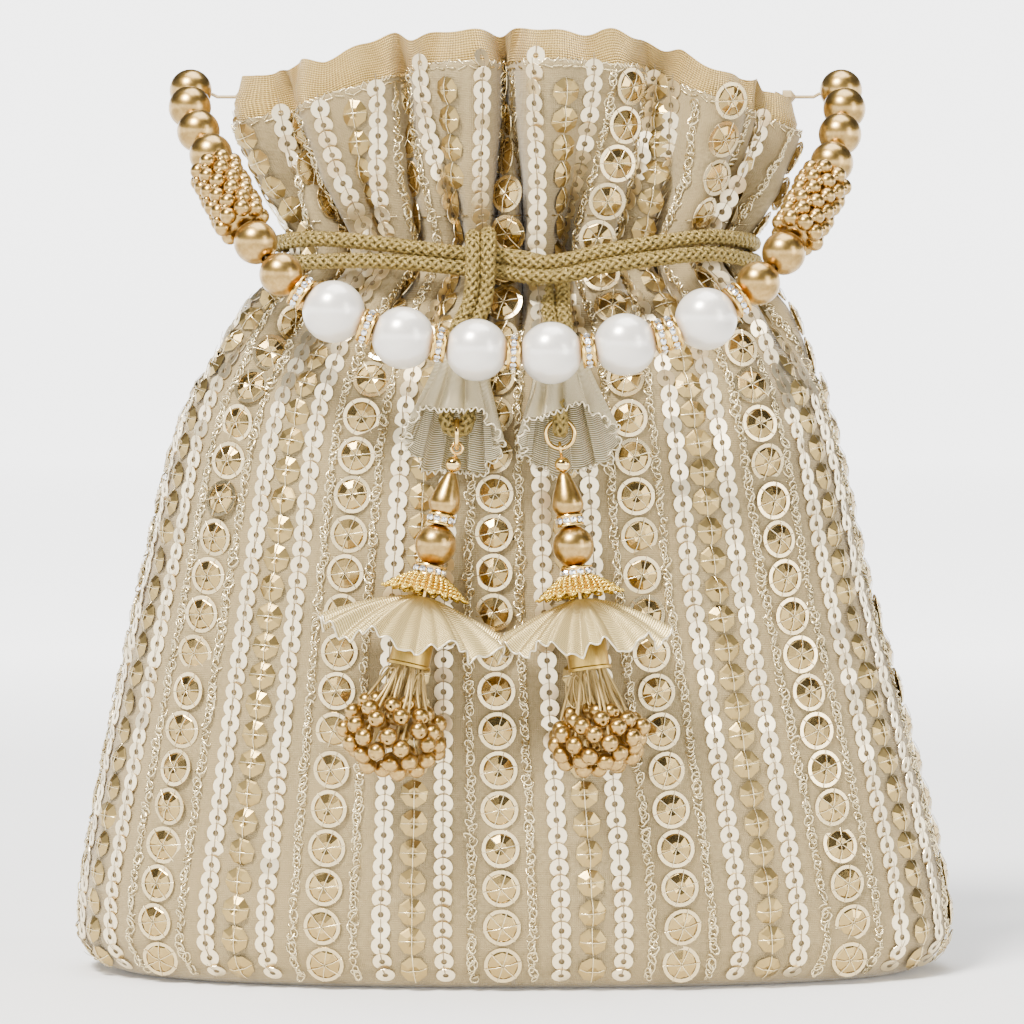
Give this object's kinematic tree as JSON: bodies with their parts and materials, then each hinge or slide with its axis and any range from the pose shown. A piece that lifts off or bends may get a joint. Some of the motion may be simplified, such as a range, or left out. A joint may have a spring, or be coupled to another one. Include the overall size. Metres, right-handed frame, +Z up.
{
  "type": "potli bag",
  "caption": "Gathered cloth drawstring pouch with metallic lining, sequin-striped body, beaded wrist handle and tasselled cords; holds small items for dress wear",
  "frame": {"origin": "middle of the flat base that the bag stands on", "axes": "+Z up, +X towards the viewer's right when the front is seen, -Y out of the front where the handle and tassels hang"},
  "size_m": [0.201, 0.1088, 0.2215],
  "materials": {
    "cloth": "soft beige woven cloth with stitched sequin stripes",
    "lining": "metallic gold tissue",
    "board": "stiff card",
    "cord": "knitted metallic thread",
    "thread": "nylon thread",
    "pearl": "white pearl lacquer on plastic",
    "gold_pearl": "gold pearl lacquer on plastic",
    "rhinestone": "gold-plated setting with clear stones",
    "gold": "gold plate",
    "ribbon": "woven metallic ribbon"
  },
  "bodies": {
    "bag": {"outer_cloth": "cloth", "lining": "lining", "base_board": "board", "cord_left": "cord", "cord_right": "cord", "knot": "cord", "cord_end_left": "cord", "cord_end_right": "cord", "bell_left": "ribbon", "bell_right": "ribbon"},
    "handle": {"handle_thread": "thread", "gold_bead_1": "gold_pearl", "gold_bead_10": "gold_pearl", "gold_bead_11": "gold_pearl", "gold_bead_12": "gold_pearl", "gold_bead_2": "gold_pearl", "gold_bead_3": "gold_pearl", "gold_bead_4": "gold_pearl", "gold_bead_5": "gold_pearl", "gold_bead_6": "gold_pearl", "gold_bead_7": "gold_pearl", "gold_bead_8": "gold_pearl", "gold_bead_9": "gold_pearl", "pearl_1": "pearl", "pearl_2": "pearl", "pearl_3": "pearl", "pearl_4": "pearl", "pearl_5": "pearl", "pearl_6": "pearl", "rondelle_1": "rhinestone", "rondelle_2": "rhinestone", "rondelle_3": "rhinestone", "rondelle_4": "rhinestone", "rondelle_5": "rhinestone", "rondelle_6": "rhinestone", "rondelle_7": "rhinestone", "rondelle_8": "rhinestone", "seed_tube_left": "gold_pearl", "seed_tube_right": "gold_pearl"},
    "ring_left": {"ring_left": "gold"},
    "tassel_left": {"eye_pin_left": "gold", "teardrop_left": "gold_pearl", "rondelle_upper_left": "rhinestone", "round_bead_left": "gold_pearl", "rondelle_lower_left": "rhinestone", "filigree_cap_left": "gold", "frill_left": "ribbon", "ferrule_left": "gold", "pearl_drop_left": "gold_pearl"},
    "ring_right": {"ring_right": "gold"},
    "tassel_right": {"eye_pin_right": "gold", "teardrop_right": "gold_pearl", "rondelle_upper_right": "rhinestone", "round_bead_right": "gold_pearl", "rondelle_lower_right": "rhinestone", "filigree_cap_right": "gold", "frill_right": "ribbon", "ferrule_right": "gold", "pearl_drop_right": "gold_pearl"}
  },
  "joints": [
    {"name": "handle_swing", "type": "hinge", "parent": "bag", "child": "handle", "pos_m": [0, 0, 0.2035], "axis": [-1, 0, 0], "range_deg": [0, 250]},
    {"name": "ring_left_swing", "type": "hinge", "parent": "bag", "child": "ring_left", "pos_m": [-0.0131, -0.047, 0.1271], "axis": [-1, 0, 0], "range_deg": [0, 30]},
    {"name": "tassel_left_swing", "type": "hinge", "parent": "ring_left", "child": "tassel_left", "pos_m": [-0.0131, -0.047, 0.1231], "axis": [0, 1, 0], "range_deg": [0, 30]},
    {"name": "ring_right_swing", "type": "hinge", "parent": "bag", "child": "ring_right", "pos_m": [0.01, -0.047, 0.1271], "axis": [0, -1, 0], "range_deg": [0, 20]},
    {"name": "tassel_right_swing", "type": "hinge", "parent": "ring_right", "child": "tassel_right", "pos_m": [0.01, -0.047, 0.1231], "axis": [-1, 0, 0], "range_deg": [0, 40]}
  ]
}
